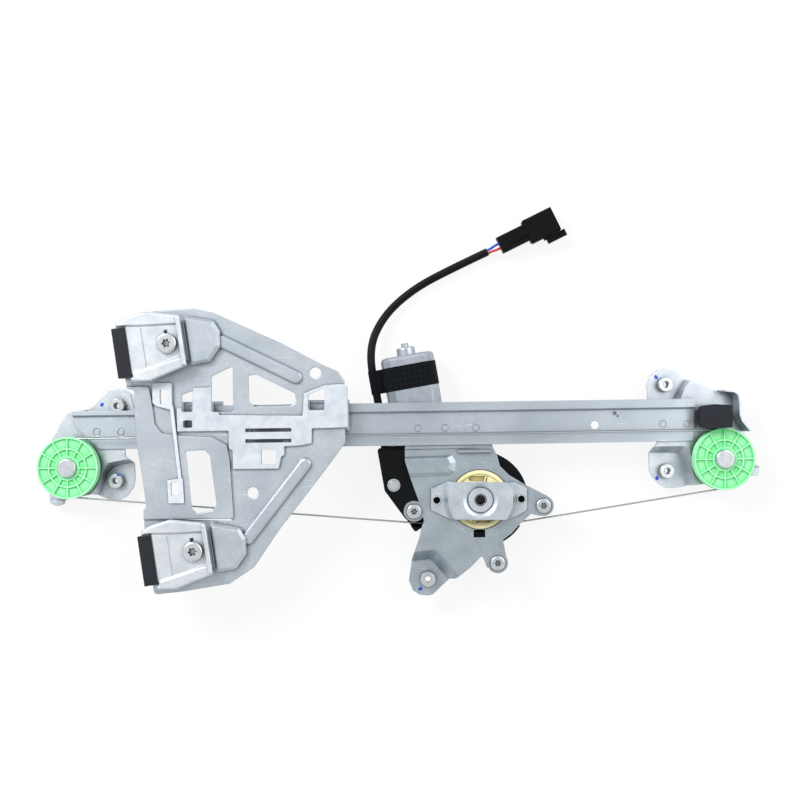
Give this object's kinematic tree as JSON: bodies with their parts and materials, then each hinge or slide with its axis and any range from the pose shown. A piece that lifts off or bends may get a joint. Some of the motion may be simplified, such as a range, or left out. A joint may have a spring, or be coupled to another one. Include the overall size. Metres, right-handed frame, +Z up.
{
  "type": "window regulator",
  "caption": "Motorised single-rail cable window regulator for a car door: bowed guide rail, glass carrier with two clamps, end pulleys, drum, gear motor and plugged pigtail.",
  "frame": {"origin": "on the floor, in the middle of the footprint of the regulator without its pigtail", "axes": "+Z up towards the door glass side, +X along the guide rail from the glass-up end to the glass-down end, +Y across the rail towards the motor can"},
  "size_m": [0.6086, 0.3251, 0.0617],
  "materials": {
    "zinc_steel": "bright zinc-plated sheet, satin",
    "plated_screw": "plated fasteners",
    "tool_steel": "bare machined steel",
    "cable_steel": "stranded steel cable",
    "mint_plastic": "mint green acetal",
    "milky_plastic": "milky translucent acetal",
    "cream_plastic": "cream acetal",
    "black_plastic": "black glass-filled nylon",
    "black_rubber": "soft black rubber",
    "motor_steel": "drawn plated steel can",
    "copper": "copper segments",
    "core_steel": "stacked core laminations",
    "ferrite": "ferrite magnet",
    "carbon": "carbon brush",
    "bronze": "sintered bronze",
    "tape": "black cloth tape",
    "black_sleeve": "black vinyl sleeve",
    "blue_wire": "blue insulation",
    "red_wire": "red insulation",
    "tin": "tinned blades"
  },
  "bodies": {
    "frame": {"guide_rail": "zinc_steel", "left_end_bracket": "zinc_steel", "right_end_bracket": "zinc_steel", "clinch_nuts": "plated_screw", "pulley_rivets": "plated_screw", "end_bumper": "black_rubber", "motor_bracket": "zinc_steel", "drum_bridge": "zinc_steel", "bridge_rivets": "plated_screw", "motor_screws": "plated_screw", "gear_housing": "black_plastic", "gear_cover": "black_plastic", "housing_rivet": "plated_screw", "motor_can": "motor_steel", "motor_magnets": "ferrite", "brush_card": "black_plastic", "brushes": "carbon", "shaft_bearings": "bronze", "tape_band": "tape", "left_cable": "cable_steel", "right_cable": "cable_steel", "pigtail_sleeve": "black_sleeve", "wire_blue": "blue_wire", "wire_red": "red_wire", "connector_body": "black_plastic", "connector_terminals": "tin"},
    "carrier": {"carrier_plate": "zinc_steel", "slider_shoe": "milky_plastic", "slider_arm": "milky_plastic", "cable_ferrules": "tool_steel", "clamp_nuts": "plated_screw", "upper_rest_rubber": "black_rubber", "lower_rest_rubber": "black_rubber"},
    "upper_jaw": {"upper_clamp_plate": "zinc_steel", "upper_jaw_rubber": "black_rubber"},
    "lower_jaw": {"lower_clamp_plate": "zinc_steel", "lower_jaw_rubber": "black_rubber"},
    "upper_bolt": {"upper_clamp_bolt": "plated_screw"},
    "lower_bolt": {"lower_clamp_bolt": "plated_screw"},
    "drum": {"cable_drum": "cream_plastic", "drum_cable_wraps": "cable_steel", "worm_wheel": "milky_plastic", "drum_shaft": "tool_steel"},
    "armature": {"armature_shaft": "tool_steel", "armature_core": "core_steel", "commutator": "copper"},
    "pulley_left": {"left_pulley": "mint_plastic"},
    "pulley_right": {"right_pulley": "mint_plastic"}
  },
  "joints": [
    {"name": "carrier_travel", "type": "hinge", "parent": "frame", "child": "carrier", "pos_m": [0.00084, 0.01332, -1.4595], "axis": [0, 1, 0], "range_deg": [-0.8, 10.4]},
    {"name": "upper_jaw_open", "type": "hinge", "parent": "carrier", "child": "upper_jaw", "pos_m": [-0.17147, 0.09443, 0.04684], "axis": [-0.1353, 0.9907, -0.0101], "range_deg": [0, 4]},
    {"name": "lower_jaw_open", "type": "hinge", "parent": "carrier", "child": "lower_jaw", "pos_m": [-0.15222, -0.07597, 0.04828], "axis": [-0.1353, 0.9907, -0.0101], "range_deg": [0, 4]},
    {"name": "upper_bolt_lift", "type": "slide", "parent": "carrier", "child": "upper_bolt", "axis": [-0.0746, 0, 0.9972], "range_m": [0, 0.002]},
    {"name": "lower_bolt_lift", "type": "slide", "parent": "carrier", "child": "lower_bolt", "axis": [-0.0746, 0, 0.9972], "range_m": [0, 0.002]},
    {"name": "drum_spin", "type": "hinge", "parent": "frame", "child": "drum", "pos_m": [0.06614, -0.04038, 0.0305], "axis": [0, 0, 1], "range_deg": [-660, 55]},
    {"name": "left_pulley_spin", "type": "hinge", "parent": "frame", "child": "pulley_left", "pos_m": [-0.27796, -0.00998, 0.02143], "axis": [-0.0785, 0, 0.9969], "range_deg": [-650, 52]},
    {"name": "right_pulley_spin", "type": "hinge", "parent": "frame", "child": "pulley_right", "pos_m": [0.27124, -0.00998, 0.02299], "axis": [0.0785, 0, 0.9969], "range_deg": [-650, 52]},
    {"name": "armature_spin", "type": "hinge", "parent": "frame", "child": "armature", "pos_m": [0.02794, -0.04678, 0.0175], "axis": [-0.1633, 0.9866, 0], "continuous": true}
  ],
  "couplings": [
    {"joint": "drum_spin", "follows": "carrier_travel", "ratio": -62.667},
    {"joint": "left_pulley_spin", "follows": "carrier_travel", "ratio": -61.639},
    {"joint": "right_pulley_spin", "follows": "carrier_travel", "ratio": -61.639},
    {"joint": "armature_spin", "follows": "carrier_travel", "ratio": -1880},
    {"joint": "upper_bolt_lift", "follows": "upper_jaw_open", "m_per_rad": 0.027},
    {"joint": "lower_bolt_lift", "follows": "lower_jaw_open", "m_per_rad": 0.027}
  ]
}
